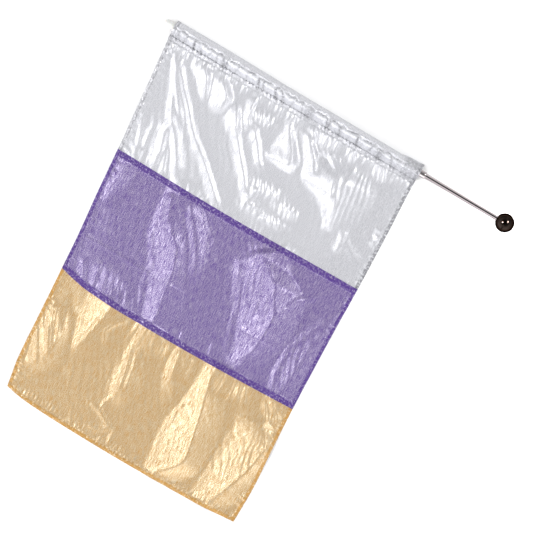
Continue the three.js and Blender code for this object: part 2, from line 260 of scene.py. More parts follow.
def ball_finish():
    """Black enamel with a deep gloss that stays dark to the rim, and faint scuffs."""
    finish = Finish("black_gloss_enamel")
    scuffs = finish.noise(finish.place(), 260.0, 5.0)
    finish.surface(
        Base_Color=finish.mixed(scuffs, (0.017, 0.012, 0.010, 1), (0.026, 0.019, 0.016, 1)),
        Metallic=1.0,
        Roughness=0.015 + scuffs * 0.03,
        Specular_Tint=(0.15, 0.13, 0.12, 1),
    )
    return finish.material


ball_mesh = turned_mesh("grip_ball", ball_profile())
for vertex in ball_mesh.vertices:
    vertex.co.z = max(vertex.co.z, 0.0)
ball = finished_object("grip_ball", ball_mesh, ball_finish())
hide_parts("handle_ball")

# The far end of the thick tube wears a soft white vinyl cap with a rounded end.
# Its open end is beaded, and the sleeve covers a part of it.
tip_low, tip_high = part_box("end_tip")
TIP_RADIUS = (tip_high.y - tip_low.y) / 2
TIP_ROUND = 0.006
TIP_CROWN = 0.005
TIP_BEAD = 0.0002
TIP_CLEARANCE = 0.0001
BEAD_START = 0.003
BEAD_TOP = 0.002
BEAD_END = 0.0005
TIP_RINGS = 10
TIP_GRAIN = 0.0001


def tip_profile():
    """Half outline of the cap, from the middle of its round end to the bead, and back along its bore."""
    profile = [(tip_low.x, 0.0)]
    for angle in np.linspace(0, math.pi / 2, TIP_RINGS):
        radius = TIP_RADIUS - TIP_ROUND * (1 - math.sin(angle))
        profile.append((tip_low.x + TIP_ROUND * (1 - math.cos(angle)), radius))
    bore = TUBE_RADIUS + TIP_CLEARANCE
    profile += [
        (tip_high.x - BEAD_START, TIP_RADIUS),
        (tip_high.x - BEAD_TOP, TIP_RADIUS + TIP_BEAD),
        (tip_high.x - BEAD_END, TIP_RADIUS + TIP_BEAD),
        (tip_high.x, TIP_RADIUS - TIP_BEAD),
        (tip_high.x, bore),
        (tip_low.x + TIP_CROWN, bore),
        (tip_low.x + TIP_CROWN, 0.0),
    ]
    return profile


def tip_finish():
    """White vinyl, slightly waxy, with a little grime."""
    finish = Finish("white_vinyl")
    grime = finish.noise(finish.place(), 220.0, 4.0)
    finish.surface(
        Base_Color=finish.mixed(grime, (0.75, 0.72, 0.69, 1), (0.68, 0.65, 0.62, 1)),
        Roughness=0.32 + grime * 0.15,
        Subsurface_Weight=0.1,
        Normal=finish.bumped(grime, TIP_GRAIN),
    )
    return finish.material


tip = finished_object("pole_tip", turned_mesh("pole_tip", tip_profile()), tip_finish())
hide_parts("end_tip")

# The top panel is silver lame. Its upper edge is carried under the pole, over it and back down, and sewn
# with two rows as a sleeve, which draws the cloth into gathers. It lies in folds that fan from a corner.
# The cloth's own sizes and places are in millimetres, from the pole's axis and the pole's middle.
MM = 0.001
CLOTH = 0.6
LAYER_GAP = 0.15
HEM = 7.0
HEM_STITCH = 6.0
SEAM_LAP = 12.0
SEAM_BAND = 13.0
SEAM_STEP = 3.0
SLEEVE_STITCH = -19.0
TURN_STITCH = -27.0
BACK_ROUND = 1.3
ACROSS_STEP = 2.2
DOWN_STEP = 2.7
PANEL_DROP = 280

# Side edges of the flag: columns y, left x, right x
SIDES = np.array([
    (-900, -327, 246),
    (-840, -338, 247),
    (-800, -345, 247),
    (-700, -353, 240),
    (-585, -362, 232),
    (-500, -369, 228),
    (-400, -380, 224),
    (-294, -390, 221),
    (-150, -405, 215),
    (0, -420, 208),
    (30, -421, 208),
], float)

# Rows across the flag: columns share of the width, upper seam y, lower seam y, free edge y
SEAMS = np.array([
    (0, -293, -581, -866),
    (0.05, -293.5, -589, -872),
    (0.12, -294, -596, -876),
    (0.28, -295.5, -600, -879),
    (0.45, -296, -600, -880),
    (0.65, -294.5, -598, -879),
    (0.85, -292, -594, -876),
    (1, -290.5, -590, -869),
], float)

# Back edge of the sleeve: columns x, y
SLEEVE_BACK = np.array([
    (-420, 16.5),
    (-300, 17),
    (-100, 15),
    (60, 15.5),
    (150, 15.5),
    (168, 18.5),
    (208, 20),
], float)

# The folds that the cloth lies in: columns y, left foot x, crest x, right foot x, rise of the crest
FOLDS = {
    "fan_low": [
        (-312, -252, -220, -200, 0), (-240, -296, -264, -240, 1.2), (-150, -350, -334, -312, 0.8),
        (-29, -402, -395, -378, 0),
    ],
    "fan_middle": [
        (-312, -194, -172, -154, 0), (-240, -254, -226, -206, 1.2), (-140, -334, -316, -294, 0.8),
        (-29, -388, -382, -372, 0),
    ],
    "fan_high": [
        (-312, -134, -114, -40, 0), (-240, -212, -188, -140, 1.2), (-140, -308, -296, -262, 0.8),
        (-29, -380, -372, -360, 0),
    ],
    "patch_left": [
        (-108, -292, -280, -272, 0), (-95, -300, -284, -276, 3.4), (-75, -320, -292, -283, 6),
        (-52, -346, -304, -294, 8), (-38, -352, -316, -306, 4), (-27, -356, -320, -310, 0),
    ],
    "patch_middle": [
        (-116, -262, -240, -228, 0), (-100, -272, -240, -228, 5.6), (-75, -283, -240, -226, 8.6),
        (-55, -294, -256, -240, 7.6), (-40, -300, -266, -250, 3), (-27, -304, -272, -258, 0),
    ],
    "patch_right": [
        (-140, -206, -184, -172, 0), (-120, -222, -188, -176, 6), (-100, -230, -198, -188, 6.5),
        (-84, -228, -208, -198, 4), (-70, -226, -214, -206, 0),
    ],
    "broad": [
        (-262, -96, -82, -66, 0), (-200, -140, -118, -84, 0.7), (-135, -196, -172, -140, 0.7),
        (-100, -226, -200, -172, 0),
    ],
    "branch": [
        (-256, 0, 30, 60, 0), (-210, -86, -4, 46, 1), (-165, -122, -100, -40, 0.6),
        (-105, -182, -150, -118, 1), (-29, -196, -180, -166, 0),
    ],
    "lens": [
        (-272, -40, 10, 40, 0), (-245, -98, -40, 40, 2), (-205, -104, -86, -40, 0),
    ],
    "middle": [
        (-147, -104, -50, -20, 0), (-137, -110, -50, -32, 11), (-126, -106, -46, -32, 12.5),
        (-110, -101, -52, -38, 10.3), (-85, -101, -70, -56, 6.5), (-50, -101, -93, -82, 2),
        (-29, -104, -97, -86, 0),
    ],
    "middle_right": [
        (-128, -14, 8, 24, 0), (-115, -20, 2, 16, 4.6), (-100, -30, -4, 10, 5.4),
        (-80, -45, -18, -4, 5.6), (-62, -58, -34, -22, 5), (-48, -70, -54, -46, 0),
    ],
    "right_crumple": [
        (-215, 88, 104, 134, 0), (-184, 66, 96, 140, 6.3), (-160, 30, 84, 150, 11.3),
        (-141, -14, 66, 152, 16), (-124, -20, 58, 152, 15.5), (-110, -14, 56, 152, 14.5),
        (-97, -6, 54, 150, 12.4), (-72, 6, 46, 120, 0),
    ],
    "purple_corner": [
        (-430, -378, -360, -320, 0), (-340, -388, -346, -326, 8.5), (-300, -392, -346, -330, 5),
        (-262, -394, -346, -330, 0),
    ],
    "purple_left": [
        (-640, -160, -130, -100, 0), (-592, -164, -128, -84, 8), (-470, -204, -148, -90, 12),
        (-420, -232, -168, -100, 12), (-365, -248, -208, -120, 9), (-292, -256, -222, -180, 4),
        (-270, -256, -222, -190, 0),
    ],
    "purple_middle": [
        (-500, -100, -84, -60, 0), (-410, -140, -108, -60, 5), (-320, -198, -174, -146, 3),
        (-280, -214, -190, -164, 0),
    ],
    "purple_big": [
        (-630, 34, 54, 90, 0), (-560, 48, 86, 130, 7), (-460, 8, 96, 150, 17), (-376, -46, 62, 140, 18),
        (-352, -36, 30, 108, 16), (-330, -14, 0, 74, 14), (-305, 18, 28, 70, 7), (-282, 30, 40, 70, 0),
    ],
    "purple_right": [
        (-630, 170, 190, 220, 0), (-520, 152, 196, 230, 8), (-400, 178, 206, 226, 5),
        (-350, 196, 212, 226, 0),
    ],
    "gold_wedge": [
        (-745, -256, -248, -220, 0), (-690, -266, -238, -180, 7), (-600, -282, -224, -160, 10),
        (-555, -320, -230, -150, 0),
    ],
    "gold_left": [
        (-815, -342, -300, -270, 0), (-750, -350, -290, -250, 11), (-640, -366, -310, -280, 0),
    ],
    "gold_middle": [
        (-785, -130, -106, -80, 0), (-740, -144, -108, -70, 8), (-670, -150, -118, -80, 4),
        (-610, -154, -128, -88, 2.4), (-572, -156, -130, -90, 0),
    ],
    "gold_streak": [
        (-730, -30, 0, 20, 0), (-640, -58, -30, 4, 6), (-606, -60, -38, -6, 5), (-574, -60, -38, -6, 0),
    ],
    "gold_main": [
        (-885, 20, 34, 70, 3), (-868, 15, 40, 90, 5.4), (-846, 12, 62, 110, 10.5),
        (-810, 10, 86, 128, 15.5), (-760, 6, 78, 130, 15), (-650, 18, 50, 106, 8),
        (-604, 16, 42, 90, 6), (-574, 16, 42, 90, 0),
    ],
    "gold_right": [
        (-885, 130, 168, 200, 6), (-800, 138, 204, 244, 13), (-700, 140, 226, 246, 16),
        (-630, 120, 180, 232, 0),
    ],
}

# The plan grid on which the relief of the whole cloth is worked out
RELIEF_STEP = 1.5
relief_x = np.arange(-450, 280, RELIEF_STEP)
relief_y = np.arange(-900, -17, RELIEF_STEP)
plan_x, plan_y = np.meshgrid(relief_x, relief_y)
FOLD_ROUND = 3.0


def along(table, at):
    """Columns of a table at places along its first one, smooth and with no overshoot between its rows."""
    knots, values = table[:, 0], table[:, 1:]
    gaps = np.diff(knots)[:, None]
    slopes = np.diff(values, axis=0) / gaps
    inner = np.where(
        slopes[:-1] * slopes[1:] > 0,
        2 * slopes[:-1] * slopes[1:] / np.where(slopes[:-1] + slopes[1:] == 0, 1, slopes[:-1] + slopes[1:]),
        0,
    )
    tangents = np.vstack([slopes[:1], inner, slopes[-1:]])
    row = np.clip(np.searchsorted(knots, at) - 1, 0, len(knots) - 2)
    share = np.clip((at - knots[row]) / gaps[row, 0], 0, 1)[..., None]
    run = gaps[row]
    return (
        values[row] * (1 + 2 * share) * (1 - share) ** 2
        + values[row + 1] * share ** 2 * (3 - 2 * share)
        + tangents[row] * run * share * (1 - share) ** 2
        - tangents[row + 1] * run * share ** 2 * (1 - share)
    )


def softened(field, radius):
    """A field blurred by that many millimetres, so that ridges and feet are round."""
    reach = int(math.ceil(3 * radius / RELIEF_STEP))
    weights = hump(np.arange(-reach, reach + 1) * RELIEF_STEP, 0, radius)
    weights /= weights.sum()
    for axis in (0, 1):
        padded = np.pad(field, [(reach, reach) if a == axis else (0, 0) for a in (0, 1)], mode="edge")
        length = field.shape[axis]
        field = sum(w * np.take(padded, range(k, k + length), axis=axis) for k, w in enumerate(weights))
    return field


def hump(value, middle, half):
    """A smooth hump of height 1 about a middle."""
    return np.exp(-0.5 * ((value - middle) / half) ** 2)


def ramp(value, start, end):
    """From 0 at the start to 1 at the end, and level past both."""
    return np.clip((value - start) / (end - start), 0, 1)


def folds_relief():
    """Height of the cloth over the floor from its folds alone, on the plan grid."""
    relief = np.zeros_like(plan_x)
    for rows in FOLDS.values():
        table = np.array(rows, float)
        inside = (relief_y >= table[0, 0]) & (relief_y <= table[-1, 0])
        left, crest, right, rise = along(table, relief_y[inside]).T[:, :, None]
        x = plan_x[inside]
        slope = np.where(x < crest, (x - left) / (crest - left), (right - x) / (right - crest))
        relief[inside] += rise * np.clip(slope, 0, 1)
    return softened(relief, FOLD_ROUND)


# Creases pressed into the folds, ridges where the rise is positive: columns reach to the right of the path,
# reach to its left, rise, then the path from end to end
CREASES = {
    "fan_low": (3, 5, 1.1, [(-394, -44), (-372, -84), (-346, -134), (-328, -168)]),
    "fan_middle": (4, 7, 2.2, [(-386, -48), (-356, -100), (-326, -142), (-298, -174)]),
    "fan_high": (4, 5, 2.4, [(-376, -52), (-334, -104), (-298, -144), (-268, -178), (-240, -208)]),
    "corner_streak": (10, 3, 3.4, [(-324, -178), (-315, -215), (-306, -250), (-300, -294)]),
    "corner_streak_left": (4, 3, 1.2, [(-350, -196), (-346, -240), (-340, -292)]),
    "corner_streak_far": (4, 3, 1.2, [(-382, -190), (-372, -224), (-358, -262), (-352, -292)]),
    "corner_streak_right": (6, 3, 2, [(-300, -234), (-287, -266), (-276, -294)]),
    "broad_ridge": (7, 4, 2.7, [(-206, -104), (-175, -140), (-147, -174), (-119, -207), (-90, -242)]),
    "branch_ridge": (7, 4, 2.6, [(-178, -94), (-150, -106), (-132, -126), (-115, -150), (-96, -174)]),
    "ring": (8, 8, 0.8, [(-180, -92), (-164, -76), (-146, -70), (-130, -78), (-120, -104)]),
    "mottle": (5, 5, -2.4, [(-22, -66), (10, -78), (48, -98)]),
    "mottle_ridge": (4, 4, 2.2, [(16, -66), (34, -76), (48, -84)]),
    "right_one": (5, 3, 1.7, [(80, -60), (84, -90), (86, -112)]),
    "right_three": (7, 4, 2.2, [(84, -150), (92, -184), (100, -216)]),
    "lens_ridge": (10, 7, 1.4, [(-96, -252), (-50, -266), (-20, -266), (12, -256)]),
    "right_drop": (7, 4, 2.6, [(131, -192), (137, -220), (139, -250)]),
    "right_bar": (7, 6, 1.4, [(138, -212), (160, -222), (188, -238)]),
    "purple_corner": (4, 4, 2.2, [(-343, -306), (-348, -350), (-356, -392)]),
    "purple_neck": (6, 6, 2.8, [(-240, -314), (-228, -350), (-214, -384)]),
    "purple_band_left": (4, 4, 1.1, [
        (-246, -356), (-230, -420), (-200, -470), (-188, -530), (-160, -590),
    ]),
    "purple_band_right": (4, 4, 1.2, [
        (-225, -380), (-165, -412), (-150, -450), (-145, -500), (-134, -562),
    ]),
    "purple_dim": (8, 8, 2.8, [(-200, -310), (-165, -350), (-120, -410), (-94, -470)]),
    "purple_dim_low": (3, 3, 1.4, [(-86, -540), (-84, -588)]),
    "purple_big_left": (5, 5, 1, [
        (2, -328), (-34, -370), (-14, -412), (10, -460), (26, -510), (56, -582),
    ]),
    "purple_big_right": (5, 5, 1, [(60, -318), (66, -396), (94, -424), (95, -520), (60, -572)]),
    "purple_thin": (5, 5, 2.3, [(164, -342), (120, -380), (95, -440)]),
    "purple_right": (5, 5, 1.7, [(206, -366), (180, -420), (155, -482), (158, -540), (172, -584)]),
    "press_left": (2.4, 2.4, 1, [(-370, -497), (-280, -494), (-180, -496), (-90, -493)]),
    "press_right": (2.4, 2.4, 0.8, [(0, -495), (60, -496), (110, -494), (206, -497)]),
    "purple_foot_a": (3, 3, 1.6, [(-330, -545), (-318, -566), (-308, -584)]),
    "purple_foot_b": (2.6, 2.6, 1.4, [(-62, -566), (-58, -590)]),
    "purple_foot_c": (2.6, 2.6, 1.3, [(8, -552), (14, -588)]),
    "gold_trough": (9, 9, -1, [(-322, -600), (-282, -680), (-268, -758), (-228, -792)]),
    "gold_wedge_left": (4, 4, 0.8, [(-280, -604), (-268, -660), (-254, -726)]),
    "gold_wedge_right": (4, 4, 0.9, [(-224, -604), (-238, -664), (-252, -722)]),
    "gold_loop": (3.2, 3.2, 2, [(-180, -604), (-200, -630), (-211, -652), (-194, -682)]),
    "gold_crest": (4, 4, 2.2, [(-142, -652), (-130, -700), (-118, -762)]),
    "gold_crest_low": (3, 3, 1.5, [(-118, -762), (-132, -790), (-128, -812)]),
    "gold_small": (3, 3, 1.6, [(-106, -630), (-104, -656)]),
    "gold_strip": (5, 5, 2, [(-46, -600), (-42, -640), (-30, -684)]),
    "gold_line": (3, 3, 1.7, [(-13, -606), (-11, -652)]),
    "gold_main_left": (4, 4, 0.7, [
        (23, -636), (18, -700), (8, -760), (15, -812), (26, -852), (38, -870),
    ]),
    "gold_main_right": (5, 5, 0.9, [
        (48, -650), (62, -690), (76, -750), (86, -800), (74, -838), (48, -854),
    ]),
    "gold_far_left": (4, 4, 0.5, [(143, -686), (140, -760), (140, -820), (133, -864)]),
    "gold_far_top": (4, 4, 1, [(110, -664), (150, -664), (190, -654), (216, -620)]),
    "gold_far_right": (4, 4, 0.9, [(226, -700), (218, -760), (200, -800), (180, -852)]),
    "gold_pinch": (3, 5, 2.2, [(-162, -804), (-128, -812), (-94, -830), (-112, -846), (-142, -856)]),
    "gold_top_right": (3.4, 3.4, 1.8, [(182, -602), (206, -616), (226, -640)]),
    "gold_drop": (3.5, 3.5, 1.6, [(-82, -818), (-78, -864)]),
    "gold_left_fold": (4.5, 4.5, 2.4, [(-338, -650), (-318, -716), (-292, -762)]),
    "gold_left_twin": (3.5, 3.5, 1.9, [(-344, -720), (-326, -752), (-304, -790)]),
    "fan_low_wide": (4, 13, 4.6, [(-342, -150), (-318, -184), (-297, -210), (-272, -246), (-248, -288)]),
    "branch_top": (8, 3, 3.4, [(-186, -40), (-180, -80), (-168, -110)]),
    "branch_low": (10, 7, 1, [(-112, -184), (-60, -203), (-30, -211), (0, -221), (24, -236)]),
    "lens_side": (10, 4, 3, [(-82, -208), (-80, -228), (-84, -254)]),
    "right_side": (9, 4, 2.8, [(198, -146), (204, -172), (200, -198)]),
    "corner_lift": (6, 24, 2.8, [(-408, -50), (-402, -120), (-394, -200), (-390, -250)]),
    "fan_high_wide": (9, 4, 3.3, [(-256, -184), (-230, -206), (-200, -232), (-168, -260), (-130, -294)]),
}

# Crinkled places: columns middle x, middle y, half width, half height, pitch of the pleats, their lean in
# degrees, rise, seed
CRINKLES = {
    "silver_all": (-100, -160, 330, 150, 18, 62, 0.4, 3),
    "patch": (-285, -75, 60, 34, 14, 60, 0.35, 5),
    "branch": (-148, -73, 34, 13, 15, 76, 3.1, 7),
    "middle": (18, -80, 48, 18, 12, 50, 1.8, 9),
    "right": (102, -132, 46, 70, 13, 80, 2.3, 11),
    "low": (-62, -204, 42, 16, 15, 78, 3, 13),
    "corner": (-345, -240, 45, 60, 13, 75, 0.7, 15),
    "low_edge": (-40, -256, 60, 12, 15, 74, 3, 19),
    "margin": (165, -200, 60, 95, 18, 60, 0.4, 17),
    "purple_all": (-80, -440, 320, 150, 17, 68, 0.4, 21),
    "purple_top": (-150, -330, 70, 34, 16, 50, 0.8, 23),
    "purple_band": (-185, -460, 50, 120, 12, 72, 0.5, 25),
    "purple_big": (40, -440, 60, 120, 13, 75, 0.5, 27),
    "purple_right": (180, -490, 30, 90, 15, 70, 0.9, 29),
    "gold_all": (-60, -740, 310, 150, 16, 66, 0.35, 31),
    "gold_left": (-318, -735, 34, 75, 13, 64, 2.2, 33),
    "gold_wedge": (-252, -650, 40, 60, 12, 70, 0.4, 35),
    "gold_main": (48, -760, 44, 110, 12, 76, 0.5, 37),
    "gold_right": (188, -750, 56, 110, 13, 70, 0.6, 39),
    "gold_middle": (-128, -720, 36, 80, 13, 75, 0.5, 41),
    "low_right": (0, -224, 36, 15, 15, 78, 2.9, 43),
    "purple_big_top": (14, -332, 46, 26, 14, 66, 2.4, 45),
    "purple_foot": (-270, -560, 74, 30, 20, 68, 3, 47),
    "gold_top_right": (200, -620, 30, 24, 18, 70, 2.4, 49),
    "gold_foot": (-165, -838, 30, 28, 11, 60, 1.1, 65),
    "scallop_left": (-16, -44, 36, 16, 20, 84, 4.4, 67),
    "scallop_middle": (76, -42, 28, 16, 18, 80, 4, 69),
    "scallop_right": (138, -46, 20, 18, 16, 80, 3.6, 71),
    "gold_top_left": (-120, -620, 66, 24, 22, 86, 3.6, 73),
    "gold_top_middle": (96, -622, 52, 26, 20, 80, 3.4, 75),
}
CREASE_END = 0.18
CREASE_LEAST = 0.25
RIPPLES = 12
SHORTEST_RIPPLE = 0.7
LONGEST_RIPPLE = 1.7
LONG_FACE = 0.8
PLEAT_RISE = 0.82
PLEAT_UNEVEN = 0.28
PLEAT_MOST = 1.3
SLEEVE_PUCKER = 2.6
SLEEVE_PUCKER_PITCH = 19
PUCKER_FAN = 0.35
PUCKER_FAN_PITCH = 120
PUCKER_DECAY = 13.0
SIDE_PUCKER = 2.2
SIDE_PUCKER_PITCH = 26
SEAM_PUCKER = 0.6
FREE_PUCKER = 2.6
SEAM_PUCKER_PITCH = 15
HEM_PUCKER_DECAY = 9.0


def crease_relief(right_reach, left_reach, rise, path):
    """One ridge or trough along a path, fading at both ends, on the plan grid."""
    path = np.array(path, float)
    steps = np.diff(path, axis=0)
    lengths = np.hypot(*steps.T)
    starts = np.concatenate([[0], np.cumsum(lengths)])
    nearest = np.full(plan_x.shape, 1e9)
    place = np.zeros(plan_x.shape)
    reach = np.ones(plan_x.shape)
    for corner, step, length, start in zip(path[:-1], steps, lengths, starts):
        share = ((plan_x - corner[0]) * step[0] + (plan_y - corner[1]) * step[1]) / length ** 2
        share = np.clip(share, 0, 1)
        away = np.hypot(plan_x - corner[0] - share * step[0], plan_y - corner[1] - share * step[1])
        closer = away < nearest
        nearest[closer] = away[closer]
        place[closer] = (start + share * length)[closer] / starts[-1]
        turn = step[0] * (plan_y - corner[1]) - step[1] * (plan_x - corner[0])
        reach[closer] = np.where(turn > 0, left_reach, right_reach)[closer]
    fade = ramp(np.minimum(place, 1 - place), 0, CREASE_END)
    kept = CREASE_LEAST + (1 - CREASE_LEAST) * fade * fade * (3 - 2 * fade)
    return rise * hump(nearest, 0, reach) * kept


def waves(x, y, pitch, lean, spread, seed):
    """Seeded uneven ripples of about one pitch, leaning by so many degrees, mostly within -1 and 1."""
    chance = np.random.default_rng(seed)
    total = np.zeros(np.broadcast(x, y).shape)
    for _ in range(RIPPLES):
        angle = math.radians(lean + 90 + chance.normal(0, spread))
        length = pitch * chance.uniform(SHORTEST_RIPPLE, LONGEST_RIPPLE)
        phase = chance.uniform(0, 2 * math.pi)
        total = total + np.cos((x * math.cos(angle) + y * math.sin(angle)) * 2 * math.pi / length + phase)
    return total / math.sqrt(RIPPLES)


def ripple(x, pitch, seed):
    """Uneven ripples along x."""
    return waves(x, 0, pitch, -90, 3, seed)


def crinkle_relief(middle_x, middle_y, half_width, half_height, pitch, lean, rise, seed):
    """Small pleats within an oval of crushed cloth: long faces to the left, short ones behind."""
    away = ((plan_x - middle_x) / half_width) ** 2 + ((plan_y - middle_y) / half_height) ** 2
    across = plan_x * math.sin(math.radians(lean)) + plan_y * math.cos(math.radians(lean))
    tooth = (across / pitch + 0.5 * waves(plan_x, plan_y, pitch * 6, -lean, 40, seed)) % 1
    pleats = np.where(tooth < LONG_FACE, tooth / LONG_FACE, (1 - tooth) / (1 - LONG_FACE))
    uneven = PLEAT_RISE + PLEAT_UNEVEN * waves(plan_x, plan_y, pitch * 4, -lean, 50, seed + 100)
    return rise * pleats * np.clip(uneven, 0, PLEAT_MOST) * np.exp(-away ** 2)


left_side, right_side = along(SIDES, relief_y).T[:, :, None]


def pucker_relief():
    """Small puckers that the stitches draw: under the sleeve, along the hems and at the seams."""
    share = ramp(plan_x, left_side, right_side)
    across = np.linspace(0, 1, 81)
    rows = along(SEAMS, across).T
    upper, lower, free = (np.interp(share, across, row) for row in rows)
    below = np.abs(TURN_STITCH - plan_y)
    slant = plan_x + below * PUCKER_FAN * waves(plan_x, 0, PUCKER_FAN_PITCH, 0, 1, 51)
    pleats = np.abs(ripple(slant, SLEEVE_PUCKER_PITCH, 53))
    total = SLEEVE_PUCKER * pleats * np.exp(-below / PUCKER_DECAY) * np.clip(below / 4, 0.15, 1)
    for inward, seed in ((plan_x - left_side, 55), (right_side - plan_x, 57)):
        gathers = np.abs(waves(0.4 * plan_y, plan_y + 0.3 * plan_x, SIDE_PUCKER_PITCH, 0, 8, seed))
        total += SIDE_PUCKER * gathers * np.exp(-np.abs(inward - HEM) / HEM_PUCKER_DECAY)
    lines = ((upper, SEAM_PUCKER, 59), (lower, SEAM_PUCKER, 61), (free + HEM_STITCH, FREE_PUCKER, 63))
    for line, rise, seed in lines:
        gathers = np.abs(waves(plan_x, plan_y, SEAM_PUCKER_PITCH, -90, 24, seed))
        total += rise * gathers * np.exp(-np.abs(plan_y - line) / HEM_PUCKER_DECAY)
    return total


LOFT = 2.5
LOFT_REACH = 40.0
RELIEF_ROUND = 0.9


def loft_relief():
    """The slight lift of the cloth off the floor away from its outer edges."""
    inward = np.minimum(plan_x - left_side, right_side - plan_x)
    inward = np.minimum(inward, np.minimum(TURN_STITCH - plan_y, plan_y - SEAMS[0, 3]))
    inward = np.clip(inward, 0, None)
    return LOFT * (1 - np.exp(-(inward / LOFT_REACH) ** 2))


relief = folds_relief() + loft_relief()
for crease in CREASES.values():
    relief += crease_relief(*crease)
for crinkle in CRINKLES.values():
    relief += crinkle_relief(*crinkle)
relief += pucker_relief()
relief = np.maximum(softened(relief, RELIEF_ROUND), 0)


def relief_at(x, y):
    """Height of the cloth's underside at points of the plan."""
    column = np.clip((x - relief_x[0]) / RELIEF_STEP, 0, len(relief_x) - 1.001)
    row = np.clip((y - relief_y[0]) / RELIEF_STEP, 0, len(relief_y) - 1.001)
    i, j = row.astype(int), column.astype(int)
    s, t = row - i, column - j
    low = relief[i, j] * (1 - t) + relief[i, j + 1] * t
    high = relief[i + 1, j] * (1 - t) + relief[i + 1, j + 1] * t
    return low * (1 - s) + high * s


def flag_x(share, y):
    """x at a share of the flag's width and at y."""
    left, right = along(SIDES, y).T
    return left.T + (right - left).T * share


def even_places(start, end, step):
    """Places from start to end, about one step apart."""
    return np.linspace(start, end, max(2, int(abs(end - start) / step) + 1))


# Stations across the flag, as shares of its width, with a line at the inner edge of each side hem
FLAG_WIDTH = 628.0
hem_share = HEM / FLAG_WIDTH
shares = np.concatenate([
    even_places(0, hem_share, ACROSS_STEP / FLAG_WIDTH),
    even_places(hem_share, 1 - hem_share, ACROSS_STEP / FLAG_WIDTH)[1:-1],
    even_places(1 - hem_share, 1, ACROSS_STEP / FLAG_WIDTH),
])
upper_seam, lower_seam, free_edge = along(SEAMS, shares).T
in_side_hem = (shares <= hem_share * 1.01) | (shares >= 1 - hem_share * 1.01)
layers = np.where(in_side_hem, 2, 1)


def between(start, end, places):
    """Values at places from a start to an end, a row of them for each station."""
    return start[:, None] + (end - start)[:, None] * places


def flat_places(down):
    """Places on the uncut cloth in metres: across it by station, and down it as given."""
    return np.dstack([np.repeat(shares[:, None] * FLAG_WIDTH, down.shape[1], axis=1), down]) * MM


def cloth_object(name, upper, lower, flat, doubled, material):
    """A closed sheet from the points of its two faces, by station and by row, in millimetres from the pole.
    flat is each point's place on the uncut cloth in metres. The lap and shade mark is 1 where the cloth is
    turned or lapped, and it also holds painted shade where it darkens creases and gaps."""
    stations, rows = upper.shape[:2]
    points = np.hstack([upper, lower[:, ::-1]]) * MM
    points[..., 1] += POLE_Y
    size = 2 * rows
    corner = np.arange(stations * size).reshape(stations, size)
    after = np.roll(corner, -1, axis=1)
    walls = np.stack([corner[:-1], corner[1:], after[1:], after[:-1]], axis=-1).reshape(-1, 4)
    top, under = corner[:, :rows], corner[:, :rows - 1:-1]
    start = np.stack([top[0, :-1], top[0, 1:], under[0, 1:], under[0, :-1]], axis=-1)
    end = np.stack([top[-1, 1:], top[-1, :-1], under[-1, :-1], under[-1, 1:]], axis=-1)
    mesh = bpy.data.meshes.new(name)
    mesh.from_pydata(points.reshape(-1, 3).tolist(), [], np.concatenate([walls, start, end]).tolist())
    both = np.hstack([flat, flat[:, ::-1]]).reshape(-1, 2)
    spots = np.zeros(len(mesh.loops), int)
    mesh.loops.foreach_get("vertex_index", spots)
    mesh.uv_layers.new(name="cloth").data.foreach_set("uv", both[spots].astype(np.float32).ravel())
    mark = mesh.attributes.new("doubled", "FLOAT", "POINT")
    marks = np.hstack([doubled, doubled[:, ::-1]])
    mark.data.foreach_set("value", marks.astype(np.float32).ravel())
    return finished_object(name, mesh, material)


GRAIN_SCALE = 850.0
GRAIN_DEPTH = 0.0001
SLUB_STRETCH = (900.0, 60.0, 1.0)
FLECK_MIDDLE = 0.62
FLECK_SPREAD = 0.26
GROUND_ROUGHNESS = 0.52
SLUB_SHARE = 0.3
GRAIN_BUMP = 0.7
SLUB_BUMP = 0.6
LAP_AND_SHADE_MOTTLE_SCALE = 200.0
LAP_AND_SHADE_MOTTLE_LOW = 0.35
LAP_AND_SHADE_MOTTLE_HIGH = 0.515
LAP_AND_SHADE_DULLS = 0.94


def lame_finish(name, ground, film, lap_and_painted_shade_ground, film_share, film_roughness, fleck_edge):
    """Lame: flecks of bright metallic film over a dyed weave. The ground is darker and the film duller
    where the cloth is turned or lapped, and where shade is painted on.
    """
    finish = Finish(name)
    cloth = finish.node("ShaderNodeUVMap", {"uv_map": "cloth"}, {})
    # This mark holds the real laps and hems, and also painted shade in the silver sleeve's gaps and creases
    # and on its right margin.
    lap_and_painted_shade_mark = finish.node("ShaderNodeAttribute", {"attribute_name": "doubled"}, {}, output="Fac")
    doubled = lap_and_painted_shade_mark * finish.node("ShaderNodeMapRange", {}, {
        "Value": finish.noise(cloth, LAP_AND_SHADE_MOTTLE_SCALE, 2.0),
        "From Min": LAP_AND_SHADE_MOTTLE_LOW,
        "From Max": LAP_AND_SHADE_MOTTLE_HIGH,
    })
    grain = finish.noise(cloth, GRAIN_SCALE, 3.0)
    slub = finish.noise(finish.stretched(cloth, SLUB_STRETCH), 1.0, 2.0)
    level = FLECK_MIDDLE - FLECK_SPREAD * film_share
    fleck = finish.node("ShaderNodeMapRange", {"interpolation_type": "SMOOTHSTEP"}, {
        "Value": grain * (1 - SLUB_SHARE) + slub * SLUB_SHARE,
        "From Min": level - fleck_edge,
        "From Max": level + fleck_edge,
    })
    bright = fleck * (1.0 - doubled * LAP_AND_SHADE_DULLS)
    finish.surface(
        Base_Color=finish.mixed(bright, finish.mixed(doubled, ground, lap_and_painted_shade_ground), film),
        Metallic=bright,
        Roughness=GROUND_ROUGHNESS + bright * (film_roughness - GROUND_ROUGHNESS),
        Normal=finish.bumped(grain * GRAIN_BUMP + slub * SLUB_BUMP, GRAIN_DEPTH),
    )
    return finish.material


# Rows of points along the sleeve: under the pole, round the back fold, up to the pole, over it, down, and
# past its stitches to the raw edge
UNDER_ROWS = 9
TURN_ROWS = 7
UP_ROWS = 10
OVER_ROWS = 22
DOWN_ROWS = 14
EDGE_ROWS = 5
RAW_EDGE = 2.0


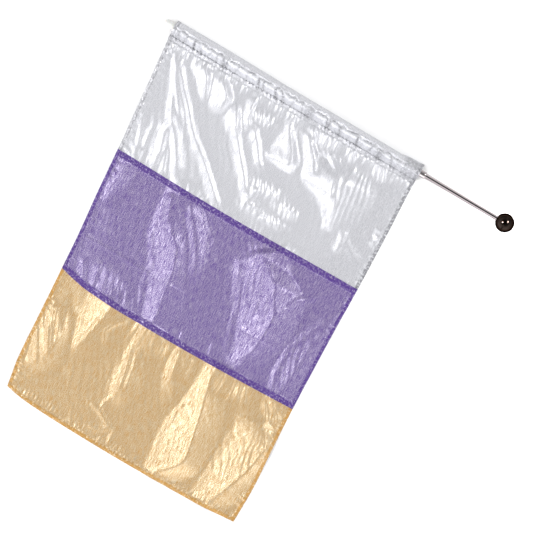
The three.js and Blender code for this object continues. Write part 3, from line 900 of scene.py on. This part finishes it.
def sleeve_section(x):
    """Section of the sleeve at each station: y and z along the cloth from the turn's stitches, under the
    pole, round the back fold, over the pole and down to the stitches that close it."""
    middle = axis_height(x * MM) / MM
    radius = TIP_RADIUS / MM + LAYER_GAP + CLOTH / 2
    back = along(SLEEVE_BACK, x)[:, 0] - BACK_ROUND
    under = back[:, None] * np.linspace(0, 1, UNDER_ROWS) + TURN_STITCH * np.linspace(1, 0, UNDER_ROWS)
    pieces = [(under, np.full_like(under, CLOTH / 2))]
    turn = np.linspace(-math.pi / 2, math.pi / 4, TURN_ROWS)[1:]
    turn_y = back[:, None] + BACK_ROUND * np.cos(turn)
    turn_z = CLOTH / 2 + BACK_ROUND + BACK_ROUND * np.sin(turn)
    turn_z = np.repeat(turn_z[None], len(x), axis=0)
    pieces.append((turn_y, turn_z))
    foot_y, foot_z = turn_y[:, -1], turn_z[:, -1]
    stitch_z = CLOTH / 2 + CLOTH + LAYER_GAP

    def tangent(y, z, side):
        away = np.hypot(y, z - middle)
        return np.arctan2(z - middle, y) + side * np.arccos(np.clip(radius / away, -1, 1))

    rise_angle = tangent(foot_y, foot_z, 1)
    fall_angle = tangent(np.full_like(x, SLEEVE_STITCH), np.full_like(x, stitch_z), -1) % (2 * math.pi)
    arc = between(rise_angle, fall_angle, np.linspace(0, 1, OVER_ROWS))
    arc_y, arc_z = radius * np.cos(arc), middle[:, None] + radius * np.sin(arc)
    up = np.linspace(0, 1, UP_ROWS)[1:-1]
    pieces.append((between(foot_y, arc_y[:, 0], up), between(foot_z, arc_z[:, 0], up)))
    pieces.append((arc_y, arc_z))
    down = np.linspace(0, 1, DOWN_ROWS)[1:]
    pieces.append((between(arc_y[:, -1], SLEEVE_STITCH, down), between(arc_z[:, -1], stitch_z, down)))
    return np.hstack([y for y, z in pieces]), np.hstack([z for y, z in pieces])


# Tight places between the gathers over the pole: columns x, slant, half width, depth
GATHER_GAPS = [
    (-404, -0.2, 8, 0.7), (-384, 0.3, 6, 0.6), (-362, -0.2, 4, 1), (-347, -0.5, 5, 0.5),
    (-322, 0.4, 3, 0.4), (-304, -0.1, 3, 0.7), (-288, -0.3, 6, 0.8), (-280, 0, 3, 1),
    (-253, 0.3, 2.5, 0.6), (-228, -0.3, 2.5, 0.5), (-198, -0.3, 4, 1), (-186, -0.3, 3, 0.9),
    (-155, -0.6, 4, 1), (-136, -0.5, 4, 1), (-110, 0.2, 4, 0.6), (-88, -0.6, 3, 0.7),
    (-68, 0, 14, 0.75), (-24, -0.5, 4, 0.9), (-18, 0, 4, 0.9), (9, -0.2, 6, 0.8), (34, 0.4, 3, 0.4),
    (53, -0.2, 5, 0.9), (66, 0.3, 2.5, 0.5), (88, 0.2, 5, 0.7), (110, -0.1, 13, 0.85),
    (140, -0.4, 6, 0.7), (158, 0.2, 8, 0.7),
]
GAP_MIDDLE = -10
GATHER_RISE = 4.0
GATHER_PITCH = 17
CREST_RISE = 2.5
CREST_Y = 4.0
CREST_HALF = 2.0
CREST_WANDER = 1.6
CREST_PITCH = 26
CREASE_BEHIND = 3.4
EDGE_PUCKER = 3.4
EDGE_PUCKER_PITCH = 14
PLAIN_END = 170
SLEEVE_UNDER = UNDER_ROWS + TURN_ROWS - 1


def crest_wander(x):
    """How far the crest over the pole strays to either side."""
    return CREST_WANDER * ripple(x, CREST_PITCH, 73)


def gathers(x, y):
    """How far the sleeve stands off the pole: swells between the tight places, and a wavy crest."""
    swell = 0.55 + 0.45 * np.abs(ripple(x + 0.5 * y, GATHER_PITCH, 71))
    for middle, slant, half, depth in GATHER_GAPS:
        swell = swell * (1 - 0.8 * depth * hump(x - slant * (y - GAP_MIDDLE), middle, half))
    swell = swell * np.sin(math.pi * ramp(y, 0, SLEEVE_STITCH))
    off = y - CREST_Y - crest_wander(x)
    crest = hump(off, 0, CREST_HALF) - 0.8 * hump(off, -4.2, 1.8)
    crest = (0.8 + crest * (0.7 + 0.4 * ripple(x, 40, 75))) * ramp(y, 14, 6) * ramp(y, -10, -2)
    puckers = np.abs(ripple(x + 0.6 * y, EDGE_PUCKER_PITCH, 83)) * np.exp(-((y + 22) / 5) ** 2)
    rise = GATHER_RISE * swell + CREST_RISE * np.clip(crest, 0, 3) + EDGE_PUCKER * puckers
    return rise * ramp(x, PLAIN_END, PLAIN_END - 12)


# Painted shade along the rows of stitches: columns y, most shade, seed
STITCH_SHADES = ((SLEEVE_STITCH, 0.55, 79), (TURN_STITCH, 0.35, 81))
SHADE_HALF = 1.3
END_SHADE = 0.55


def sleeve_shade(x, y):
    """Painted shade on the drawn cloth: in tight places, behind the crest, along the stitches, and evenly
    over the plain end.
    """
    shade = np.zeros_like(x)
    for middle, slant, half, depth in GATHER_GAPS:
        shade = np.maximum(shade, depth * hump(x - slant * (y - GAP_MIDDLE), middle, half * 0.7))
    shade = shade * ramp(y, 0, -3) * ramp(y, -30, -22)
    broken = np.clip(0.75 + 0.6 * ripple(x, 34, 77), 0, 1)
    behind = y - CREST_Y + CREASE_BEHIND - crest_wander(x)
    shade = np.maximum(shade, broken * hump(behind, 0, SHADE_HALF))
    for stitch, most, seed in STITCH_SHADES:
        line = stitch + 0.8 * ripple(x, 22, seed)
        broken = np.clip(0.18 + 0.7 * ripple(x, 16, seed + 1), 0, most)
        shade = np.maximum(shade, broken * hump(y, line, SHADE_HALF))
    # The plain end of the sleeve gets an even painted shade.
    return np.maximum(shade * ramp(x, 172, 152), END_SHADE * ramp(x, 160, PLAIN_END))


HEM_LINE_SHADE = 0.8
LEFT_HEM_SHADE = 0.52
RIGHT_HEM_SHADE = 0.88
RIGHT_MARGIN_SHADE = 0.22


def silver_points():
    """Upper and lower face of the silver cloth, its places on the flat cloth, and the mark of where it is
    doubled and where shade is painted on it.
    """
    low = upper_seam - SEAM_LAP
    rows = even_places(0, 1, DOWN_STEP / PANEL_DROP)[:-1]
    sheet_y = between(low, TURN_STITCH, rows)
    sheet_x = flag_x(shares[:, None], sheet_y)
    sheet_z = relief_at(sheet_x, sheet_y) + CLOTH / 2
    sleeve_x = flag_x(shares, np.zeros_like(shares))
    sleeve_y, sleeve_z = sleeve_section(sleeve_x)
    edge = np.linspace(SLEEVE_STITCH, TURN_STITCH - RAW_EDGE, EDGE_ROWS)[1:]
    edge_y = np.repeat(edge[None], len(shares), axis=0)
    edge_x = flag_x(shares[:, None], edge_y)
    edge_z = relief_at(edge_x, edge_y) + CLOTH * 1.5 + LAYER_GAP
    x = np.hstack([sheet_x, np.repeat(sleeve_x[:, None], sleeve_y.shape[1], axis=1), edge_x])
    y = np.hstack([sheet_y, sleeve_y, edge_y])
    z = np.hstack([sheet_z, sleeve_z, edge_z])
    over_pole = np.arange(x.shape[1]) > sheet_y.shape[1] + SLEEVE_UNDER
    run_y, run_z = np.gradient(y, axis=1), np.gradient(z, axis=1)
    run = np.hypot(run_y, run_z)
    swell = gathers(x, y) * over_pole
    y, z = y + run_z / run * swell, z - run_y / run * swell
    run_y, run_z = np.gradient(y, axis=1), np.gradient(z, axis=1)
    run = np.hypot(run_y, run_z)
    half = CLOTH / 2 * np.where(y < TURN_STITCH, layers[:, None], 1)
    offset_y, offset_z = -run_z / run * half, run_y / run * half
    upper = np.dstack([x, y + offset_y, z + offset_z])
    lower = np.dstack([x, y - offset_y, z - offset_z])
    length = np.cumsum(np.hypot(np.diff(y), np.diff(z)), axis=1)
    length = np.hstack([np.zeros((len(x), 1)), length])
    flat = flat_places(length)
    hem_edge = np.minimum(np.abs(shares - hem_share), np.abs(1 - hem_share - shares)) * FLAG_WIDTH
    hem_shade = in_side_hem * np.where(shares > 0.5, RIGHT_HEM_SHADE, LEFT_HEM_SHADE)
    hem_shade = np.where(hem_edge < ACROSS_STEP, HEM_LINE_SHADE, hem_shade)
    shaded = sleeve_shade(x, y) * over_pole
    # Painted shade over the right margin of the silver below the sleeve, which dims its film.
    margin_shade = RIGHT_MARGIN_SHADE * ramp(x, 90, 140) * ramp(y, TURN_STITCH - 12, TURN_STITCH - 32)
    # The real hem tone, joined with painted shade over the sleeve and the right margin.
    doubled = np.maximum(hem_shade[:, None], np.maximum(shaded, margin_shade))
    lift = np.maximum(0, -lower[..., 2].min(axis=1, keepdims=True))
    upper[..., 2] += lift
    lower[..., 2] += lift
    return upper, lower, flat, doubled


STITCH_PITCH = 3.2
STITCH_LENGTH = 2.7
SHORTEST_STITCH = 0.8
LONGEST_STITCH = 1.1
THREAD_RADIUS = 0.22
STITCH_LIFT = 0.1


def stitch_rows():
    """The group of nodes that sews along guide lines: one small thread loop after another."""
    group = bpy.data.node_groups.new("stitch_rows", "GeometryNodeTree")
    face = group.interface
    face.new_socket("Guide", in_out="INPUT", socket_type="NodeSocketGeometry")
    for name in ("Pitch", "Stitch length", "Thread radius"):
        face.new_socket(name, in_out="INPUT", socket_type="NodeSocketFloat")
    face.new_socket("Thread", in_out="INPUT", socket_type="NodeSocketMaterial")
    face.new_socket("Stitches", in_out="OUTPUT", socket_type="NodeSocketGeometry")
    rows = Wiring(group)
    entry = group.nodes.new("NodeGroupInput")
    given = {socket.name: Tone(rows, socket) for socket in entry.outputs if socket.name}
    line = rows.node("GeometryNodeMeshToCurve", {}, {"Mesh": given["Guide"]})
    points = rows.node("GeometryNodeResampleCurve", {"mode": "LENGTH"}, {
        "Curve": line, "Length": given["Pitch"],
    })
    tangent = rows.node("GeometryNodeInputTangent", {}, {})
    turn = rows.node("FunctionNodeAlignRotationToVector", {"axis": "X"}, {"Vector": tangent})
    uneven = rows.node("FunctionNodeRandomValue", {"data_type": "FLOAT"}, {
        2: SHORTEST_STITCH, 3: LONGEST_STITCH, "Seed": 5,
    }, output=1)
    size = rows.node("ShaderNodeCombineXYZ", {}, {
        "X": given["Stitch length"] * 0.5 * uneven,
        "Y": given["Thread radius"],
        "Z": given["Thread radius"],
    })
    loop = rows.node("GeometryNodeMeshUVSphere", {}, {"Segments": 6, "Rings": 4, "Radius": 1.0})
    sewn = rows.node("GeometryNodeInstanceOnPoints", {}, {
        "Points": points, "Instance": loop, "Rotation": turn, "Scale": size,
    })
    solid = rows.node("GeometryNodeRealizeInstances", {}, {"Geometry": sewn})
    done = rows.node("GeometryNodeSetMaterial", {}, {"Geometry": solid, "Material": given["Thread"]})
    rows.node("NodeGroupOutput", {}, {"Stitches": done})
    return group


def sewn_object(name, lines, thread):
    """Stitches along lines of points that lie on the cloth, in millimetres from the pole."""
    points, edges = [], []
    for line in lines:
        start = len(points)
        points += [(x * MM, y * MM + POLE_Y, (z + STITCH_LIFT) * MM) for x, y, z in line]
        edges += [(start + k, start + k + 1) for k in range(len(line) - 1)]
    guide_mesh = bpy.data.meshes.new(name + "_guide")
    guide_mesh.from_pydata(points, edges, [])
    guide = placed(name + "_guide", guide_mesh)
    sewing = guide.modifiers.new("sewing", "NODES")
    sewing.node_group = stitch_group
    given = {
        "Pitch": STITCH_PITCH * MM,
        "Stitch length": STITCH_LENGTH * MM,
        "Thread radius": THREAD_RADIUS * MM,
        "Thread": thread,
    }
    for item in stitch_group.interface.items_tree:
        if item.name in given:
            sewing[item.identifier] = given[item.name]
    depsgraph = bpy.context.evaluated_depsgraph_get()
    mesh = bpy.data.meshes.new_from_object(guide.evaluated_get(depsgraph), depsgraph=depsgraph)
    mesh.materials.clear()
    bpy.data.objects.remove(guide)
    bpy.data.meshes.remove(guide_mesh)
    return finished_object(name, mesh, thread)


def thread_finish(name, colour):
    """Twisted sewing thread, a little glossy."""
    finish = Finish(name)
    twist = finish.noise(finish.place(), 2400.0, 1.0)
    darker = tuple(0.8 * part for part in colour[:3]) + (1,)
    finish.surface(Base_Color=finish.mixed(twist, darker, colour), Roughness=0.4 + twist * 0.2)
    return finish.material


stitch_group = stitch_rows()
silver = lame_finish(
    "silver_lame", ground=(0.416, 0.421, 0.449, 1), film=(0.82, 0.82, 0.85, 1),
    lap_and_painted_shade_ground=(0.122, 0.122, 0.135, 1), film_share=0.42, film_roughness=0.35, fleck_edge=0.08)
silver_faces = silver_points()
silver_panel = cloth_object("silver_panel_cloth", *silver_faces, silver)
silver_thread = thread_finish("silver_thread", (0.62, 0.62, 0.65, 1))
hem_inner = int(np.flatnonzero(in_side_hem)[in_side_hem.sum() // 2 - 1])
hem_lines = (hem_inner - 1, len(shares) - hem_inner)
panel_rows = int((silver_faces[0][0, :, 1] < TURN_STITCH).argmin())
silver_stitches = sewn_object("silver_stitches", [
    silver_faces[1][:, -5],
    silver_faces[1][:, -2],
    *(silver_faces[0][station, 5:panel_rows] for station in hem_lines),
], silver_thread)
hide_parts("silver_panel")

# The middle panel is purple lame. Its two long edges are lapped over the edges of its neighbours and sewn
# down, so that the doubled cloth shows there as a darker band, and its ends are hemmed.


def sheet_points(rows_y, thickness, lift, doubled):
    """Upper and lower face of a panel from rows of y that run from its lower edge to its upper edge."""
    x = flag_x(shares[:, None], rows_y)
    z = relief_at(x, rows_y) + lift
    upper = np.dstack([x, rows_y, z + thickness])
    lower = np.dstack([x, rows_y, z])
    return upper, lower, flat_places(rows_y), doubled


def purple_points():
    """Faces of the purple panel, raised over its neighbours along both seams."""
    flat_from = SEAM_BAND + SEAM_STEP
    band = np.array([0, 3, 6, 9, SEAM_LAP, SEAM_BAND, SEAM_BAND + SEAM_STEP / 2])
    lapped = np.array([1, 1, 1, 1, 1, 1, 0.5])
    middle = even_places(0, 1, DOWN_STEP / PANEL_DROP)
    rows = np.hstack([
        lower_seam[:, None] + band,
        between(lower_seam + flat_from, upper_seam - flat_from, middle),
        upper_seam[:, None] - band[::-1],
    ])
    raised = np.hstack([lapped, np.zeros_like(middle), lapped[::-1]])
    thickness = CLOTH * layers[:, None] * np.ones_like(rows)
    lift = raised * (CLOTH * layers + LAYER_GAP)[:, None]
    doubled = np.maximum(in_side_hem[:, None] * 1.0, np.repeat((raised == 1)[None], len(shares), axis=0))
    return sheet_points(rows, thickness, lift, doubled)


purple = lame_finish(
    "purple_lame", ground=(0.078, 0.031, 0.209, 1), film=(0.605, 0.55, 0.69, 1),
    lap_and_painted_shade_ground=(0.052, 0.0105, 0.182, 1), film_share=0.34, film_roughness=0.37, fleck_edge=0.06)
purple_faces = purple_points()
purple_panel = cloth_object("purple_panel_cloth", *purple_faces, purple)
purple_thread = thread_finish("purple_thread", (0.10, 0.04, 0.26, 1))
purple_stitches = sewn_object("purple_stitches", [
    *(purple_faces[0][:, row] for row in (1, 3, -4, -2)),
    *(purple_faces[0][station] for station in hem_lines),
], purple_thread)
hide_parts("purple_panel")

# The fly panel is gold lame, its upper edge sewn under the purple one. Its ends and its free edge are
# turned in a narrow hem.


def gold_points():
    """Faces of the gold panel, twice as thick in its hems."""
    hem = np.array([0, 2.5, 5, HEM])
    rest = even_places(0, 1, DOWN_STEP / PANEL_DROP)[1:]
    rows = np.hstack([free_edge[:, None] + hem, between(free_edge + HEM, lower_seam + SEAM_LAP, rest)])
    in_hem = np.hstack([np.ones_like(hem), np.zeros_like(rest)])
    doubled = np.maximum(in_side_hem[:, None] * 1.0, np.repeat(in_hem[None], len(shares), axis=0))
    thickness = CLOTH * (1 + doubled)
    return sheet_points(rows, thickness, 0.0, doubled)


gold = lame_finish(
    "gold_lame", ground=(0.407, 0.203, 0.034, 1), film=(0.82, 0.752, 0.56, 1),
    lap_and_painted_shade_ground=(0.445, 0.228, 0.04, 1), film_share=0.38, film_roughness=0.35, fleck_edge=0.08)
gold_faces = gold_points()
gold_panel = cloth_object("gold_panel_cloth", *gold_faces, gold)
gold_thread = thread_finish("gold_thread", (0.55, 0.30, 0.09, 1))
gold_stitches = sewn_object("gold_stitches", [
    gold_faces[0][:, 2],
    *(gold_faces[0][station, :-5] for station in hem_lines),
], gold_thread)
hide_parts("gold_panel")

# The floor is a plain pale sweep, lit as in a soft studio: a bright ring all round, dimmer overhead, and
# two lamps high on either side. The camera looks straight down, turned to the pole's slant.
FLOOR_SIZE = 14.0
VIEW_TURN = math.radians(30.69)
VIEW_MIDDLE = Vector((0.0229, 0.0801, 0.0))
VIEW_WIDTH = 1.1726
CAMERA_HEIGHT = 9.0
LAMP_DISTANCE = 10.0
LAMP_SIZE = 1.7
LAMP_POWER = 220
SPOT_DISTANCE = 0.9
SPOT_RADIUS = 0.1
SPOT_CONE = math.radians(13)
SPOT_POWER = 70
SPOT_BLEND = 0.2

# Light of the sky by height: columns height, light
SKY_STOPS = ((0.0, 1.2), (0.35, 2.0), (0.62, 1.8), (0.80, 0.50), (0.92, 0.28))

# The strip of sky that the pole mirrors: how far its top and front are dimmed, what is added elsewhere
ABOVE_DIM = 0.95
FRONT_DIM = 0.78
BEFORE_LIGHT = 1.3
BEHIND_LIGHT = 0.55
SKIRTING_LIGHT = 2.0


def floor_finish():
    """Pale matt paper, hardly uneven."""
    finish = Finish("pale_floor")
    mottle = finish.noise(finish.place(), 3.0, 2.0)
    finish.surface(
        Base_Color=finish.mixed(mottle, (0.93, 0.93, 0.93, 1), (0.91, 0.91, 0.91, 1)),
        Roughness=0.8,
    )
    return finish.material


floor_mesh = bpy.data.meshes.new("floor")
edge = FLOOR_SIZE / 2
floor_corners = [(-edge, -edge, 0), (edge, -edge, 0), (edge, edge, 0), (-edge, edge, 0)]
floor_mesh.from_pydata(floor_corners, [], [(0, 1, 2, 3)])
floor_mesh.materials.append(floor_finish())
floor = placed("floor", floor_mesh)


def studio_world():
    """Light from all round: dim overhead, bright round the sides, with a strip that the pole mirrors."""
    world = bpy.data.worlds.new("studio")
    world.use_nodes = True
    sky = Wiring(world.node_tree)
    where = sky.node("ShaderNodeTexCoord", {}, {}, output="Generated")
    east, north, height = (sky.node("ShaderNodeSeparateXYZ", {}, {0: where}, output=axis) for axis in "XYZ")
    level = sky.node("ShaderNodeValToRGB", {"stops": SKY_STOPS}, {"Fac": height})
    side = sky.node("ShaderNodeMapRange", {}, {
        "Value": north, "From Min": -0.6, "From Max": 0.75, "To Min": 1.38, "To Max": 0.38,
    })

    def step(value, start, end):
        return sky.node("ShaderNodeMapRange", {"interpolation_type": "SMOOTHSTEP"}, {
            "Value": value, "From Min": start, "From Max": end,
        })

    beside = step(east * east, 0.02, 0.006)
    above = step(north, -0.52, -0.36) * step(north, 0.52, 0.36)
    before = step(north, -0.36, -0.52) * step(north, -0.90, -0.74)
    behind = step(north, 0.44, 0.62)
    front = step(north, -0.58, -0.74)
    skirting = step(height, 0.34, 0.08) * step(north, -0.3, -0.7) * (1.0 - beside)
    dimmed = above * ABOVE_DIM + front * FRONT_DIM
    added = before * BEFORE_LIGHT + behind * BEHIND_LIGHT
    light = level * side * (1.0 - beside * dimmed) + beside * added + skirting * SKIRTING_LIGHT
    background = next(node for node in sky.tree.nodes if node.type == "BACKGROUND")
    background.inputs["Color"].default_value = (1, 1, 1.01, 1)
    sky.fill(background.inputs["Strength"], light)
    return world


def aimed(name, light, target, towards, distance):
    """Hangs a lamp at a distance from what it is aimed at."""
    holder = placed(name, light)
    direction = Vector(towards).normalized()
    holder.location = target + direction * distance
    holder.rotation_euler = direction.to_track_quat("Z", "Y").to_euler()


def lamp(name, towards):
    """One of the two large round lamps."""
    light = bpy.data.lights.new(name, "AREA")
    light.shape = "DISK"
    light.size = LAMP_SIZE
    light.energy = LAMP_POWER
    aimed(name, light, VIEW_MIDDLE, towards, LAMP_DISTANCE)


def spot(name, towards):
    """A small hooded lamp that reaches only the ball and puts a glint on it."""
    light = bpy.data.lights.new(name, "SPOT")
    light.shadow_soft_size = SPOT_RADIUS
    light.spot_size = SPOT_CONE
    light.spot_blend = SPOT_BLEND
    light.energy = SPOT_POWER
    aimed(name, light, Vector((BALL_X, POLE_Y, BALL_RADIUS)), towards, SPOT_DISTANCE)


scene = bpy.context.scene
scene.world = studio_world()
scene.view_settings.view_transform = "Standard"
lamp("left_lamp", (-0.41, -0.07, 0.905))
lamp("right_lamp", (0.384, 0.384, 0.839))
spot("left_spot", (-0.472, -0.150, 0.872))
spot("right_spot", (0.404, 0.474, 0.782))

camera_data = bpy.data.cameras.new("camera")
camera_data.sensor_width = 36
camera_data.lens = camera_data.sensor_width * CAMERA_HEIGHT / VIEW_WIDTH
camera_data.clip_end = 50
camera = placed("camera", camera_data)
camera.location = VIEW_MIDDLE + Vector((0, 0, CAMERA_HEIGHT))
camera.rotation_euler = (0, 0, VIEW_TURN)
scene.camera = camera
